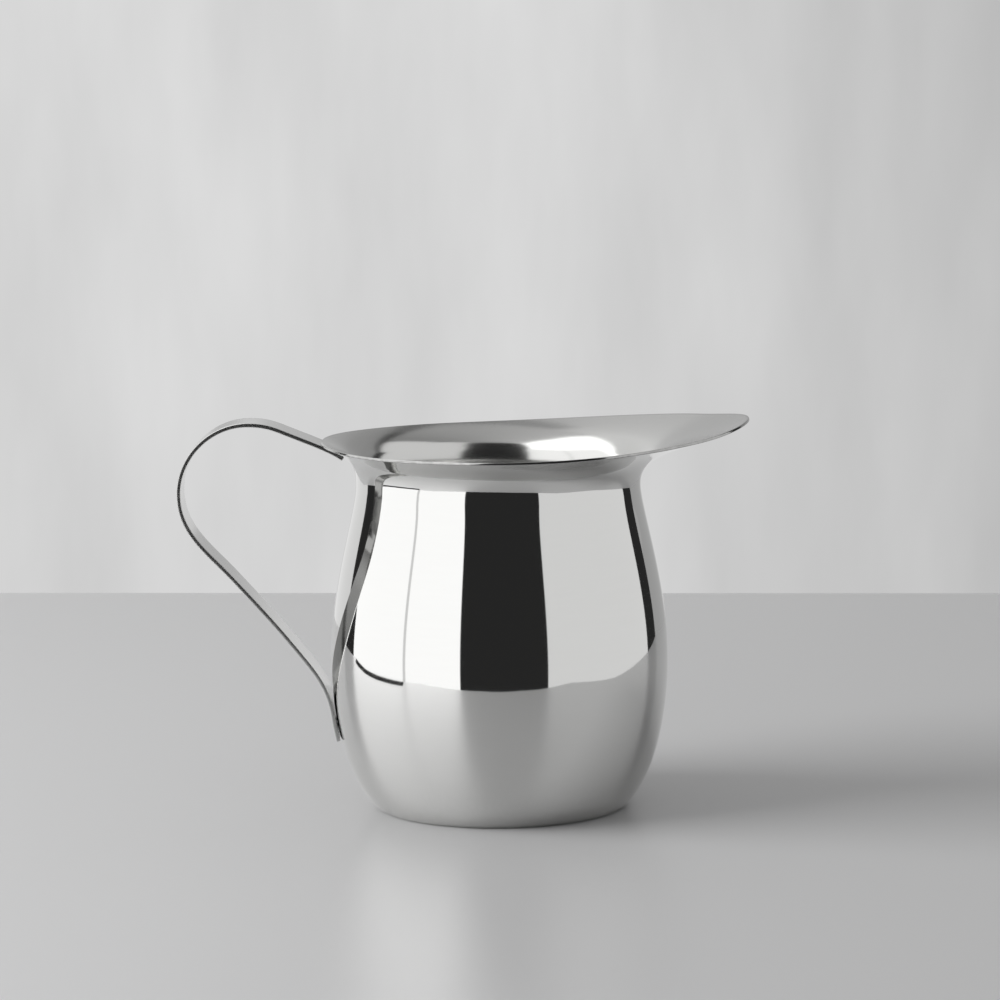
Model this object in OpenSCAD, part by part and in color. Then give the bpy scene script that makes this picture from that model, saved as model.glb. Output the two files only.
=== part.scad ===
// Bell-shaped creamer of polished steel sheet: a drawn cup whose lip grows into a spout,
// and a bent strap for a handle, spot-welded under the lip and on the belly.
// Millimetres, +Z up. The origin is the middle of the foot ring, on the table.
// The spout points along +X and the handle stands at -X.

/* [Cup] */
// Greatest outside radius of the belly
belly_r = 35; // [34:0.5:37]
// Height of the widest place above the table
belly_z = 30.5; // [29:0.5:33]
// Outside radius where the belly would meet the table
foot_r = 25.9; // [25:0.1:27]
// Rounding between the foot ring and the belly
foot_round = 0.8; // [0.4:0.1:1.2]
// Width of the ring that stands on the table
foot_w = 2.6; // [1.6:0.1:4]
// How far the bottom is pushed up inside the foot ring
push_up = 0.8; // [0.4:0.1:1.2]
// Width of the slope between the ring and the pushed-up bottom
push_slope = 1.4; // [1:0.1:2.5]
// Outside radius of the waist under the lip
neck_r = 29.5; // [28.5:0.25:30.5]
// Height of the waist
neck_z = 67; // [65:0.5:68]
// Thickness of the sheet
wall = 0.55; // [0.5:0.05:0.7]

/* [Lip and spout] */
// Outside radius of the lip beside the handle and at the sides
lip_r = 37.2; // [36.5:0.1:38]
// How far the lip's lower edge stands above the waist at the sides
lip_rise = 8.5; // [7.5:0.1:10]
// How far the spout's tip stands out past the lip
spout_reach = 14.8; // [10:0.2:17]
// How far the spout's tip stands above the lip
spout_lift = 4.6; // [3:0.1:6]
// Angle from the tip to where the spout has run out into the round lip
spout_angle = 110; // [95:1:125]
// Angle from the tip to where its own point has run out
tip_angle = 28; // [20:1:40]
// How far the lip is pressed up over the strap
press_rise = 0.5; // [0:0.1:0.8]
// How far the lip is drawn in over the strap
press_depth = 0.7; // [0:0.1:1]
// Angle from the strap to where that press has run out
press_angle = 55; // [40:1:70]

/* [Handle strap] */
// Width of the strap
strap_w = 10.8; // [9:0.1:12]
// Thickness of the strap
strap_t = 0.8; // [0.7:0.05:1]
// How far the loop's back stands out past the belly
back_out = 30.7; // [29:0.1:33]
// How far the loop's back lies above the belly's widest place
back_rise = 35.5; // [34:0.5:37]
// How far the loop's top stands out past the lip
crest_out = 14.3; // [13:0.1:16]
// How far the loop's top stands above the lip
crest_rise = 4.8; // [4:0.1:6]
// How far below the belly's widest place the strap comes to lie on it
land_drop = 10.6; // [9:0.1:11.5]
// How far below the belly's widest place the strap ends
end_drop = 16.1; // [15.5:0.1:17.5]

/* [Spot welds] */
// Radius of a weld nugget
nugget_r = 1.1; // [0.8:0.05:1.3]
// How deep a nugget reaches into each sheet
nugget_depth = 0.25; // [0.15:0.05:0.35]
// Distance between the two nuggets of a pair
nugget_pitch = 4.4; // [3.6:0.1:4.8]

/* [Hidden] */

// Air left between the strap and the cup, around the nuggets
seam_gap = 0.08;
// How far inside the cup's two skins the lip's skins start, where they meet at the waist
lip_lap = 0.04;
// Facets once round the cup
turn_n = 96;
// Steps along each curved stretch of the cup's section
lower_n = 13;
upper_n = 13;
corner_n = 3;
lip_n = 11;
// Steps along each span of the strap, along its pads and across it
span_n = 9;
pad_n = 6;
cross_n = 6;
// Facets once round a nugget
round_n = 32;

// Shapes of the curves, as shares of the lengths they bend
closing_share = 1.062;
belly_pull_share = 0.44;
neck_pull_share = 0.137;
waist_share = 0.5;
lip_out_share = 0.92;
spout_out_share = 0.62;
lip_up_share = 0.32;
spout_up_share = 0.38;
tip_reach_share = 0.1;
tip_lift_share = 0.19;
lift_shape_share = 1.64;
strap_pull_share = 0.38;
// Half the stretch of a section over which its slope is taken
probe_share = 0.01;

// Waypoints of the strap between its pads: how far they stand out past the lip or the belly,
// how far they lie above it, and the strap's heading there
rise_out = 6.8;
rise_up = 3.2;
rise_angle = 157;
bend_out = 19.5;
bend_up = 17.6;
bend_angle = 312;
fall_out = 6.4;
fall_up = 2.4;
fall_angle = 308.5;
// Where along the lip's section the strap's upper pad ends
pad_from_share = 0.65;
// How much of the belly's roundness the lower pad is cupped to
lower_cup_share = 0.35;

upright_angle = 90;
strap_angle = 180;
down_angle = 270;
pad_offset = seam_gap + strap_t / 2;
lip_z = neck_z + lip_rise;
land_z = belly_z - land_drop;
end_z = belly_z - end_drop;
nugget_h = 2 * nugget_depth + seam_gap;

// Curves
function bezier(p, q, r, s, t) =
    pow(1 - t, 3) * p + 3 * pow(1 - t, 2) * t * q + 3 * (1 - t) * t * t * r + pow(t, 3) * s;
function mix(a, b, share) = a + (b - a) * share;
function bell(angle, half) = abs(angle) < half ? (1 + cos(180 * angle / half)) / 2 : 0;
function unit(v) = v / norm(v);
function left_of(v) = [-v[1], v[0]];
function heading(angle) = [cos(angle), sin(angle)];
function last(list) = list[len(list) - 1];

// A path moved to its left by d, with true thickness at every corner
function edge_normal(path, i) = unit(left_of(path[i + 1] - path[i]));
function corner_normal(path, i) =
    i == 0 ? edge_normal(path, 0)
    : i == len(path) - 1 ? edge_normal(path, i - 1)
    : let (a = edge_normal(path, i - 1), b = edge_normal(path, i)) (a + b) / (1 + a * b);
function inset(path, d) = [for (i = [0 : len(path) - 1]) path[i] + d * corner_normal(path, i)];

// Section of the cup, from the middle of the bottom up to the waist: [radius, height]
closing_h = belly_z * closing_share;
closing_w = (belly_r - foot_r) / (1 - sqrt(1 - pow(belly_z / closing_h, 2)));
function belly_at(z) =
    belly_r - closing_w * (1 - sqrt(1 - pow((belly_z - z) / closing_h, 2)));
// Slope of the lower belly at a height, as the angle from straight up
function belly_lean(z) =
    atan(closing_w * (belly_z - z) / (closing_h * closing_h * sqrt(1 - pow((belly_z - z) / closing_h, 2))));

ring_out_r = foot_r - foot_round;
ring_in_r = ring_out_r - foot_w;
bottom_path = [[0, push_up], [ring_in_r - push_slope, push_up], [ring_in_r, 0], [ring_out_r, 0]];
corner_top = [belly_at(foot_round), foot_round];
corner_path = [
    for (i = [1 : corner_n])
        let (t = i / corner_n)
        bezier([ring_out_r, 0], [foot_r, 0], [foot_r, 0], corner_top, t)
];
corner_sweep = asin((belly_z - foot_round) / closing_h);
lower_path = [
    for (i = [1 : lower_n])
        let (a = corner_sweep * (1 - i / lower_n))
        [belly_r - closing_w * (1 - cos(a)), belly_z - closing_h * sin(a)]
];
waist_h = neck_z - belly_z;
upper_path = [
    for (i = [1 : upper_n])
        bezier(
            [belly_r, belly_z],
            [belly_r, belly_z + waist_h * belly_pull_share],
            [neck_r, neck_z - waist_h * neck_pull_share],
            [neck_r, neck_z],
            i / upper_n
        )
];
cup_path = concat(bottom_path, corner_path, lower_path, upper_path);
cup_inside = inset(cup_path, wall);
cup_mouth = [neck_r - wall, neck_z];

// Lip: its lower edge at an angle from the spout, then its section up from the waist
function spout_reach_at(angle) = spout_reach
    * mix(bell(angle, spout_angle), bell(angle, tip_angle), tip_reach_share);
function spout_lift_at(angle) = spout_lift
    * mix(pow(bell(angle, spout_angle), lift_shape_share), bell(angle, tip_angle), tip_lift_share);
function press_at(angle) = bell(strap_angle - abs(angle), press_angle);
function edge_r(angle) = lip_r + spout_reach_at(angle) - press_depth * press_at(angle);
function edge_z(angle) = lip_z + spout_lift_at(angle) + press_rise * press_at(angle);
function lip_point(angle, t) =
    let (
        r = edge_r(angle),
        z = edge_z(angle),
        drawn = spout_lift_at(angle) / spout_lift,
        out_share = mix(lip_out_share, spout_out_share, drawn),
        up_share = mix(lip_up_share, spout_up_share, drawn)
    )
    bezier(
        [neck_r - lip_lap, neck_z],
        [neck_r - lip_lap, mix(neck_z, z, waist_share)],
        [mix(r, neck_r, out_share), mix(z, neck_z, up_share)],
        [r, z],
        t
    );
function lip_section(angle) = [for (j = [0 : lip_n]) lip_point(angle, j / lip_n)];
function lip_heading(angle, t) =
    let (d = lip_point(angle, t + probe_share) - lip_point(angle, t - probe_share))
    atan2(d[1], d[0]);
function around(p, angle) = [p[0] * cos(angle), p[0] * sin(angle), p[1]];

// Both skins of the lip, one ring of points to each step of its section
function signed(angle) = angle > strap_angle ? angle - 2 * strap_angle : angle;
bore_share = 1 / cos(strap_angle / turn_n);
lip_rings = [
    for (i = [0 : turn_n - 1])
        let (
            angle = i * 2 * strap_angle / turn_n,
            outer = lip_section(signed(angle)),
            inner = inset(outer, wall)
        )
        [
            for (p = outer) around(p, angle),
            around([(neck_r - wall) * bore_share + lip_lap, neck_z], angle),
            for (j = [1 : lip_n]) around(inner[j], angle)
        ]
];
ring_len = 2 * (lip_n + 1);
function quad(a, b, c, d) = [[a, b, c], [a, c, d]];
lip_faces = [
    for (i = [0 : turn_n - 1])
        let (here = i * ring_len, next = (i + 1) % turn_n * ring_len, skin = lip_n + 1)
        each concat(
            [
                for (j = [0 : lip_n - 1])
                    each quad(here + j, here + j + 1, next + j + 1, next + j)
            ],
            [
                for (j = [skin : skin + lip_n - 1])
                    each quad(here + j, next + j, next + j + 1, here + j + 1)
            ],
            quad(here + lip_n, here + skin + lip_n, next + skin + lip_n, next + lip_n),
            quad(here, next, next + skin, here + skin)
        )
];

// Strap: the middle of its thickness, as [x, height], from under the lip to the belly
function under_lip(t) =
    let (p = lip_point(strap_angle, t), n = left_of(heading(lip_heading(strap_angle, t))))
    [-(p[0] - pad_offset * n[0]), p[1] - pad_offset * n[1]];
function on_belly(z) =
    let (lean = belly_lean(z))
    [-(belly_at(z) + pad_offset * cos(lean)), z - pad_offset * sin(lean)];
upper_pad = [for (i = [0 : pad_n]) under_lip(mix(pad_from_share, 1, i / pad_n))];
lower_pad = [for (i = [0 : pad_n]) on_belly(mix(land_z, end_z, i / pad_n))];
waypoints = [
    [last(upper_pad), strap_angle - lip_heading(strap_angle, 1)],
    [[-lip_r - rise_out, lip_z + rise_up], rise_angle],
    [[-lip_r - crest_out, lip_z + crest_rise], strap_angle],
    [[-belly_r - back_out, belly_z + back_rise], down_angle],
    [[-belly_r - bend_out, belly_z + bend_up], bend_angle],
    [[-belly_r - fall_out, belly_z + fall_up], fall_angle],
    [lower_pad[0], down_angle + belly_lean(land_z)]
];
function span_point(from, to, t) =
    let (pull = strap_pull_share * norm(to[0] - from[0]))
    bezier(
        from[0],
        from[0] + pull * heading(from[1]),
        to[0] - pull * heading(to[1]),
        to[0],
        t
    );
free_route = [
    for (k = [0 : len(waypoints) - 2], i = [1 : span_n])
        span_point(waypoints[k], waypoints[k + 1], i / span_n)
];
route = concat(upper_pad, free_route, [for (i = [1 : pad_n]) lower_pad[i]]);
route_len = len(route);

// How fully the strap is cupped to the round cup: only on the pads, not at all on the loop.
// On the upper pad the cup lies on the loop's outer side, on the lower pad on its inner side.
function cupping(i) =
    let (to_end = route_len - 1 - i)
    i <= pad_n + span_n ? 1 - max(0, i - pad_n) / span_n
    : to_end <= pad_n + span_n ? -lower_cup_share * (1 - max(0, to_end - pad_n) / span_n)
    : 0;
// Outward side of the loop at a point of the route
function loop_normal(i) = -corner_normal(route, i);
function strap_ring(i) =
    let (
        p = route[i],
        n = loop_normal(i),
        sides = [for (j = [0 : cross_n]) strap_w * (j / cross_n - 1 / 2)],
        cup = [for (y = sides) cupping(i) * abs(n[0]) * y * y / (2 * abs(p[0]))]
    )
    [
        for (j = [0 : cross_n])
            let (q = p + n * (cup[j] + strap_t / 2)) [q[0], sides[j], q[1]],
        for (j = [cross_n : -1 : 0])
            let (q = p + n * (cup[j] - strap_t / 2)) [q[0], sides[j], q[1]]
    ];
strap_points = [for (i = [0 : route_len - 1]) each strap_ring(i)];
band_len = 2 * (cross_n + 1);
end_faces = [
    for (j = [0 : cross_n - 1])
        each quad(j, j + 1, band_len - 2 - j, band_len - 1 - j)
];
far_ring = (route_len - 1) * band_len;
strap_faces = concat(
    [
        for (i = [0 : route_len - 2], j = [0 : band_len - 1])
            let (a = i * band_len + j, b = i * band_len + (j + 1) % band_len)
            each quad(a, a + band_len, b + band_len, b)
    ],
    end_faces,
    [for (f = end_faces) [f[2] + far_ring, f[1] + far_ring, f[0] + far_ring]]
);

module lip_and_spout() {
    polyhedron(points = [for (ring = lip_rings) each ring], faces = lip_faces, convexity = 6);
}

module cup() {
    inside = [for (i = [len(cup_inside) - 2 : -1 : 0]) cup_inside[i]];
    rotate_extrude($fn = turn_n)
        polygon(concat(cup_path, [cup_mouth], inside));
}

// One weld nugget: a short round plug square to the sheets that it joins
module nugget(place, around_angle, lean) {
    translate(place)
        rotate([0, lean, around_angle])
            cylinder(h = nugget_h, r = nugget_r, center = true, $fn = round_n);
}

// A point on the seam: in the middle of the air between cup and strap
function seam(p, outward) = p + outward * seam_gap / 2;

module upper_nuggets() {
    t = (1 + pad_from_share) / 2;
    half_angle = asin(nugget_pitch / 2 / lip_point(strap_angle, t)[0]);
    for (angle = [strap_angle - half_angle, strap_angle + half_angle]) {
        slope = lip_heading(signed(angle), t);
        outward = [sin(slope), -cos(slope)];
        nugget(around(seam(lip_point(signed(angle), t), outward), angle), angle, strap_angle - slope);
    }
}

module lower_nuggets() {
    z = (land_z + end_z) / 2;
    lean = belly_lean(z);
    outward = [cos(lean), -sin(lean)];
    half_angle = asin(nugget_pitch / 2 / belly_at(z));
    for (angle = [strap_angle - half_angle, strap_angle + half_angle])
        nugget(around(seam([belly_at(z), z], outward), angle), angle, upright_angle + lean);
}

module body_shell() {
    color([0.78, 0.78, 0.77])
        difference() {
            union() {
                cup();
                lip_and_spout();
            }
            upper_nuggets();
            lower_nuggets();
        }
}

module handle_strap() {
    color([0.72, 0.72, 0.72])
        difference() {
            polyhedron(points = strap_points, faces = strap_faces, convexity = 4);
            upper_nuggets();
            lower_nuggets();
        }
}

module upper_welds() {
    color([0.55, 0.55, 0.55])
        upper_nuggets();
}

module lower_welds() {
    color([0.55, 0.55, 0.55])
        lower_nuggets();
}

body_shell();
handle_strap();
upper_welds();
lower_welds();
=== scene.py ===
"""Looks of a bell-shaped creamer of polished steel sheet.

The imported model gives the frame. The drawn cup and the bent strap are built again as smooth
sheets from the same sizes, by Geometry Nodes, and dressed in polished and satin steel.
The stage is a pale satin table in front of a mottled wall, inside a tent of soft boxes.
Lengths are in metres, +Z is up, the spout points along +X and the handle stands at -X.
"""

import logging
import math
from dataclasses import dataclass, field
from enum import Enum

import bpy
from mathutils import Matrix, Vector


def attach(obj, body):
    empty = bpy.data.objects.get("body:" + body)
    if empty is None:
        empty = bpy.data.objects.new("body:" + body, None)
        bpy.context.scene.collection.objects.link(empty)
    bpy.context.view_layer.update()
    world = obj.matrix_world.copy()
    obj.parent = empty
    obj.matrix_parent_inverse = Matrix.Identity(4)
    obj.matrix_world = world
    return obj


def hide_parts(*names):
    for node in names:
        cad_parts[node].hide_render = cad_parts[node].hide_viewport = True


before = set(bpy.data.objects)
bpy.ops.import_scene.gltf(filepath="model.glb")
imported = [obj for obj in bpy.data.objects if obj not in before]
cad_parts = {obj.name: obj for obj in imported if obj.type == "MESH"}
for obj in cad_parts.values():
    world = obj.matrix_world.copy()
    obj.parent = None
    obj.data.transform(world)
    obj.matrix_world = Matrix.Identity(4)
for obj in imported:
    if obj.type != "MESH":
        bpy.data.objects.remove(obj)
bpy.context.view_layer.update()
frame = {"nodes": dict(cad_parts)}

LOG = logging.getLogger("creamer")
MM = 0.001
FINE_LINES = 0.6
BROAD_PITCH = 0.13
CLOUD_PITCH = 0.7
CLOUD_FROM = 0.42
CLOUD_GAIN = 3.5
SCUFFS_PER_M = 900.0
SCUFF_FROM = 0.6
SCUFF_GAIN = 2.2
HEAT_REACH = 1.7
ONE_BOUNCE = 0.5
TWO_BOUNCES = 1.5
Point = tuple[float, float]
Place = tuple[float, float, float]
Tint = tuple[float, float, float]


class Body(Enum):
    """The rigid bodies of the frame."""

    ROOT = "root"


class Node(Enum):
    """The solids of the frame."""

    SHELL = "body_shell"
    STRAP = "handle_strap"
    UPPER_WELDS = "upper_welds"
    LOWER_WELDS = "lower_welds"


class Slot(Enum):
    """The material slots of the record."""

    SHELL = "polished_steel"
    STRAP = "strap_steel"
    WELD = "weld_steel"


class Kind(Enum):
    """The kinds of socket that a node tree shows to the outside."""

    GEOMETRY = "NodeSocketGeometry"
    FLOAT = "NodeSocketFloat"
    COUNT = "NodeSocketInt"
    VECTOR = "NodeSocketVector"
    MATERIAL = "NodeSocketMaterial"


# Plane curves


def bezier(points: tuple[Point, ...], t: float) -> Point:
    """Finds a point of a cubic curve.

    Args:
        points: Its four control points.
        t: The share of the way along it.

    Returns:
        The point.
    """
    shares = ((1 - t) ** 3, 3 * (1 - t) ** 2 * t, 3 * (1 - t) * t * t, t**3)
    return tuple(sum(s * p[k] for s, p in zip(shares, points)) for k in (0, 1))


def follow(points: tuple[Point, ...], steps: int) -> list[Point]:
    """Follows a cubic curve in even steps, without its first point."""
    return [bezier(points, i / steps) for i in range(1, steps + 1)]


def mix(a: float, b: float, share: float) -> float:
    """Gives the value that lies that share of the way from a to b."""
    return a + (b - a) * share


def unit(x: float, y: float) -> Point:
    """Gives a direction one unit long."""
    length = math.hypot(x, y)
    return (x / length, y / length)


def heading(degrees: float) -> Point:
    """Gives the direction that an angle points in."""
    return (math.cos(math.radians(degrees)), math.sin(math.radians(degrees)))


def left_normals(path: list[Point]) -> list[Point]:
    """Finds the direction to the left of a path at each of its points.

    Args:
        path: The points, in order.

    Returns:
        One unit direction for each point.
    """
    found = []
    for a, b in zip(path[:1] + path[:-1], path[1:] + path[-1:]):
        x, y = unit(b[0] - a[0], b[1] - a[1])
        found.append((-y, x))
    return found


def filleted(corners: list[Point], radius: float, steps: int) -> list[Point]:
    """Rounds the inner corners of a path.

    Args:
        corners: The points of the path.
        radius: How far from each corner its rounding starts.
        steps: The steps along each rounding.

    Returns:
        The points of the rounded path.
    """
    path = [corners[0]]
    for before, corner, after in zip(corners, corners[1:], corners[2:]):
        ends = []
        for other in (before, after):
            x, y = unit(other[0] - corner[0], other[1] - corner[1])
            ends.append((corner[0] + x * radius, corner[1] + y * radius))
        path += [ends[0]] + follow((ends[0], corner, corner, ends[1]), steps)
    return path + [corners[-1]]


# Node trees written as sums


@dataclass
class Sum:
    """One number of a node tree, which ordinary sums extend."""

    tree: bpy.types.NodeTree
    socket: bpy.types.NodeSocket

    def node(self, operation: str, *others: "Sum | float") -> "Sum":
        """Adds a Math node.

        Args:
            operation: What the node works out.
            others: The numbers that come after this one.

        Returns:
            The node's result.
        """
        made = self.tree.nodes.new("ShaderNodeMath")
        made.operation = operation
        for entry, value in zip(made.inputs, (self, *others)):
            if isinstance(value, Sum):
                self.tree.links.new(value.socket, entry)
            else:
                entry.default_value = value
        return Sum(self.tree, made.outputs[0])

    def __add__(self, other: "Sum | float") -> "Sum":
        """Adds a number."""
        return self.node("ADD", other)

    def __sub__(self, other: "Sum | float") -> "Sum":
        """Takes a number away."""
        return self.node("SUBTRACT", other)

    def __rsub__(self, other: float) -> "Sum":
        """Takes this number away from a plain one."""
        return (self * -1.0) + other

    def __mul__(self, other: "Sum | float") -> "Sum":
        """Multiplies by a number."""
        return self.node("MULTIPLY", other)

    def __truediv__(self, other: "Sum | float") -> "Sum":
        """Divides by a number."""
        return self.node("DIVIDE", other)

    def to(self, other: "Sum | float", share: "Sum | float") -> "Sum":
        """Gives the number that lies that share of the way to the other one."""
        return self + (other - self) * share

    def within(self) -> "Sum":
        """Gives the nearest number from 0 to 1."""
        return self.node("MINIMUM", 1.0).node("MAXIMUM", 0.0)

    def bell(self, half: "Sum | float") -> "Sum":
        """Gives 1 where this angle is 0, falling smoothly to 0 at the half angle and past it."""
        turned = (self.node("ABSOLUTE") / half).node("MINIMUM", 1.0) * math.pi
        return (turned.node("COSINE") + 1.0) * 0.5


class Nodes:
    """A node tree, built one node at a time."""

    def __init__(self, tree: bpy.types.NodeTree) -> None:
        """Takes the tree to build in."""
        self.tree = tree

    def add(self, kind: str, links: dict[str, object], **settings: object) -> bpy.types.Node:
        """Adds a node.

        Args:
            kind: The node's type.
            links: What goes into each named input: a socket, a sum or a plain value.
            settings: The node's own options.

        Returns:
            The node.
        """
        made = self.tree.nodes.new(kind)
        for name, value in settings.items():
            setattr(made, name, value)
        for name, value in links.items():
            entry = next(s for s in made.inputs if s.name == name and s.enabled)
            if isinstance(value, Sum):
                value = value.socket
            if isinstance(value, bpy.types.NodeSocket):
                self.tree.links.new(value, entry)
            else:
                entry.default_value = value
        return made

    def results(self, node: bpy.types.Node) -> dict[str, Sum]:
        """Gives a node's results in use, by name."""
        return {s.name: Sum(self.tree, s) for s in node.outputs if s.enabled}

    def split(self, vector: bpy.types.NodeSocket) -> tuple[Sum, ...]:
        """Gives the three parts of a vector."""
        return tuple(self.results(self.add("ShaderNodeSeparateXYZ", {"Vector": vector})).values())

    def joined(self, parts: tuple[Sum, ...]) -> bpy.types.NodeSocket:
        """Gives the vector that has the three parts."""
        return self.add("ShaderNodeCombineXYZ", dict(zip("XYZ", parts))).outputs[0]

    def noise(self, place: tuple[Sum, ...], detail: float, roughness: float) -> Sum:
        """Adds a noise texture.

        Args:
            place: The three parts of the place that it reads.
            detail: How many finer layers it has.
            roughness: How strong those layers are.

        Returns:
            The noise, from 0 to 1.
        """
        links = {"Vector": self.joined(place), "Scale": 1.0}
        links |= {"Detail": detail, "Roughness": roughness}
        return self.results(self.add("ShaderNodeTexNoise", links))["Fac"]


def numbers(*names: str) -> dict[str, Kind]:
    """Names sockets that carry a number each."""
    return dict.fromkeys(names, Kind.FLOAT)


class Group(Nodes):
    """A node group with named inputs and outputs."""

    def __init__(
        self, name: str, inputs: dict[str, Kind], outputs: dict[str, Kind], kind: str = "Shader"
    ) -> None:
        """Makes the group.

        Args:
            name: Its name.
            inputs: The kind of each named input.
            outputs: The kind of each named output.
            kind: What its nodes work on.
        """
        super().__init__(bpy.data.node_groups.new(name, kind + "NodeTree"))
        for side, sockets in (("INPUT", inputs), ("OUTPUT", outputs)):
            for label, sort in sockets.items():
                self.tree.interface.new_socket(label, in_out=side, socket_type=sort.value)
        self.entry = self.tree.nodes.new("NodeGroupInput")
        self.end = self.tree.nodes.new("NodeGroupOutput")

    def given(self, name: str) -> Sum:
        """Gives one of the group's own inputs."""
        return Sum(self.tree, self.entry.outputs[name])

    def put(self, **values: Sum) -> None:
        """Sends values out of the group, by name."""
        for name, value in values.items():
            self.tree.links.new(value.socket, self.end.inputs[name])


class Tree(Group):
    """A Geometry Nodes tree that starts from a line of points which carry numbers."""

    merge: float = 0.002 * MM

    def __init__(self, name: str, inputs: dict[str, Kind]) -> None:
        """Makes the tree, which also takes in a mesh and a material.

        Args:
            name: Its name.
            inputs: The kind of each of its other inputs.
        """
        mesh = {"Geometry": Kind.GEOMETRY}
        super().__init__(name, mesh | inputs | {"Material": Kind.MATERIAL}, mesh, "Geometry")
        self.source = self.entry.outputs["Geometry"]

    def count(self) -> Sum:
        """Counts the line's points."""
        size = self.add("GeometryNodeAttributeDomainSize", {"Geometry": self.source})
        return Sum(self.tree, size.outputs["Point Count"])

    def sampled(self, index: Sum, name: str) -> Sum:
        """Reads a number off one point of the line.

        Args:
            index: Which point it is.
            name: The number's name.

        Returns:
            The number.
        """
        value = self.add("GeometryNodeInputNamedAttribute", {"Name": name}, data_type="FLOAT")
        links = {"Geometry": self.source, "Value": value.outputs["Attribute"], "Index": index}
        made = self.add("GeometryNodeSampleIndex", links, data_type="FLOAT", domain="POINT")
        return Sum(self.tree, made.outputs["Value"])

    def grid(self, columns: Sum, rows: Sum) -> tuple[bpy.types.NodeSocket, Sum, Sum]:
        """Lays out a flat grid.

        Args:
            columns: How many points it has along X.
            rows: How many points it has along Y.

        Returns:
            The grid, and the column and the row of each of its points.
        """
        sizes = {"Size X": 1.0, "Size Y": 1.0, "Vertices X": columns, "Vertices Y": rows}
        mesh = self.add("GeometryNodeMeshGrid", sizes).outputs["Mesh"]
        x, y, _ = self.split(self.add("GeometryNodeInputPosition", {}).outputs[0])
        column = ((x + 0.5) * (columns - 1.0)).node("ROUND")
        return mesh, column, ((y + 0.5) * (rows - 1.0)).node("ROUND")

    def close(
        self, mesh: bpy.types.NodeSocket, place: tuple[Sum, Sum, Sum], kept: dict[str, Sum]
    ) -> None:
        """Puts the points in place, closes the seams and ends the tree.

        Args:
            mesh: The flat grid.
            place: Where each of its points goes.
            kept: The numbers that the points keep, by name.
        """
        for name, value in kept.items():
            links = {"Geometry": mesh, "Name": name, "Value": value}
            options = {"data_type": "FLOAT", "domain": "POINT"}
            mesh = self.add("GeometryNodeStoreNamedAttribute", links, **options).outputs[0]
        steps = (
            ("SetPosition", {"Position": self.joined(place)}),
            ("MergeByDistance", {"Distance": self.merge}),
            ("SetShadeSmooth", {}),
            ("RealizeInstances", {}),
            ("SetMaterial", {"Material": self.given("Material")}),
        )
        for kind, links in steps:
            mesh = self.add("GeometryNode" + kind, {"Geometry": mesh, **links}).outputs[0]
        self.tree.links.new(mesh, self.end.inputs[0])

    def grown(
        self, name: str, points: list[dict[str, float]], values: dict[str, object]
    ) -> bpy.types.Object:
        """Runs the tree on a line of points and keeps the result as a plain mesh.

        Args:
            name: The piece's name.
            points: The numbers of each point, by name. One that isn't named is 0.
            values: The tree's inputs, by name.

        Returns:
            The piece, at the origin, with its faces turned outwards.
        """
        line = bpy.data.meshes.new(name + "_line")
        spots = [(0.0, 0.0, i * MM) for i in range(len(points))]
        line.from_pydata(spots, [(i, i + 1) for i in range(len(points) - 1)], [])
        for key in dict.fromkeys(key for point in points for key in point):
            layer = line.attributes.new(key, "FLOAT", "POINT")
            layer.data.foreach_set("value", [float(point.get(key, 0.0)) for point in points])
        source = bpy.data.objects.new(name + "_line", line)
        bpy.context.scene.collection.objects.link(source)
        modifier = source.modifiers.new(name, "NODES")
        modifier.node_group = self.tree
        for item in self.tree.interface.items_tree:
            if item.in_out == "INPUT" and item.name in values:
                modifier[item.identifier] = values[item.name]
        graph = bpy.context.evaluated_depsgraph_get()
        mesh = bpy.data.meshes.new_from_object(
            source.evaluated_get(graph), preserve_all_data_layers=True, depsgraph=graph
        )
        source.modifiers.remove(modifier)
        bpy.data.objects.remove(source)
        mesh.name = name
        made = bpy.data.objects.new(name, mesh)
        bpy.context.scene.collection.objects.link(made)
        mesh.calc_loop_triangles()
        volume = 0.0
        for tri in mesh.loop_triangles:
            a, b, c = (mesh.vertices[i].co for i in tri.vertices)
            volume += a.dot(b.cross(c)) / 6
        if volume < 0:
            mesh.flip_normals()
        return made


def seat(piece: bpy.types.Object, node: Node) -> None:
    """Puts a finished piece in the place of its solid.

    Args:
        piece: The piece.
        node: Its solid.
    """
    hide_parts(node.value)
    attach(piece, Body.ROOT.value)


# Shader groups


def buffing_group() -> Group:
    """Makes the fine lines that a buffing wheel leaves round a turned part.

    Returns:
        The group, which puts out a height and a tone, both from 0 to 1.
    """
    inputs = {"Vector": Kind.VECTOR, **numbers("Lines per Metre", "Length Share")}
    group = Group("Buffing Lines", inputs, numbers("Height", "Tone"))
    x, y, z = group.split(group.entry.outputs["Vector"])
    pitch = group.given("Lines per Metre")
    along = pitch * group.given("Length Share")
    x, y, z = x * along, y * along, z * pitch
    fine = group.noise((x, y, z), detail=2.0, roughness=0.6)
    broad = group.noise((x, y, z * BROAD_PITCH), detail=3.0, roughness=0.5)
    group.put(Height=fine * FINE_LINES + broad * (1.0 - FINE_LINES), Tone=broad)
    return group


def handling_group() -> Group:
    """Makes the soft clouding that wiping and handling leave on polished steel.

    Returns:
        The group, which puts out a mask from 0 to 1.
    """
    inputs = {"Vector": Kind.VECTOR, **numbers("Marks per Metre")}
    group = Group("Handling Marks", inputs, numbers("Mask"))
    x, y, z = group.split(group.entry.outputs["Vector"])
    pitch = group.given("Marks per Metre")
    place = (x * pitch, y * pitch, z * pitch * CLOUD_PITCH)
    cloud = group.noise(place, detail=4.0, roughness=0.55)
    group.put(Mask=((cloud - CLOUD_FROM) * CLOUD_GAIN).within())
    return group


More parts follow.
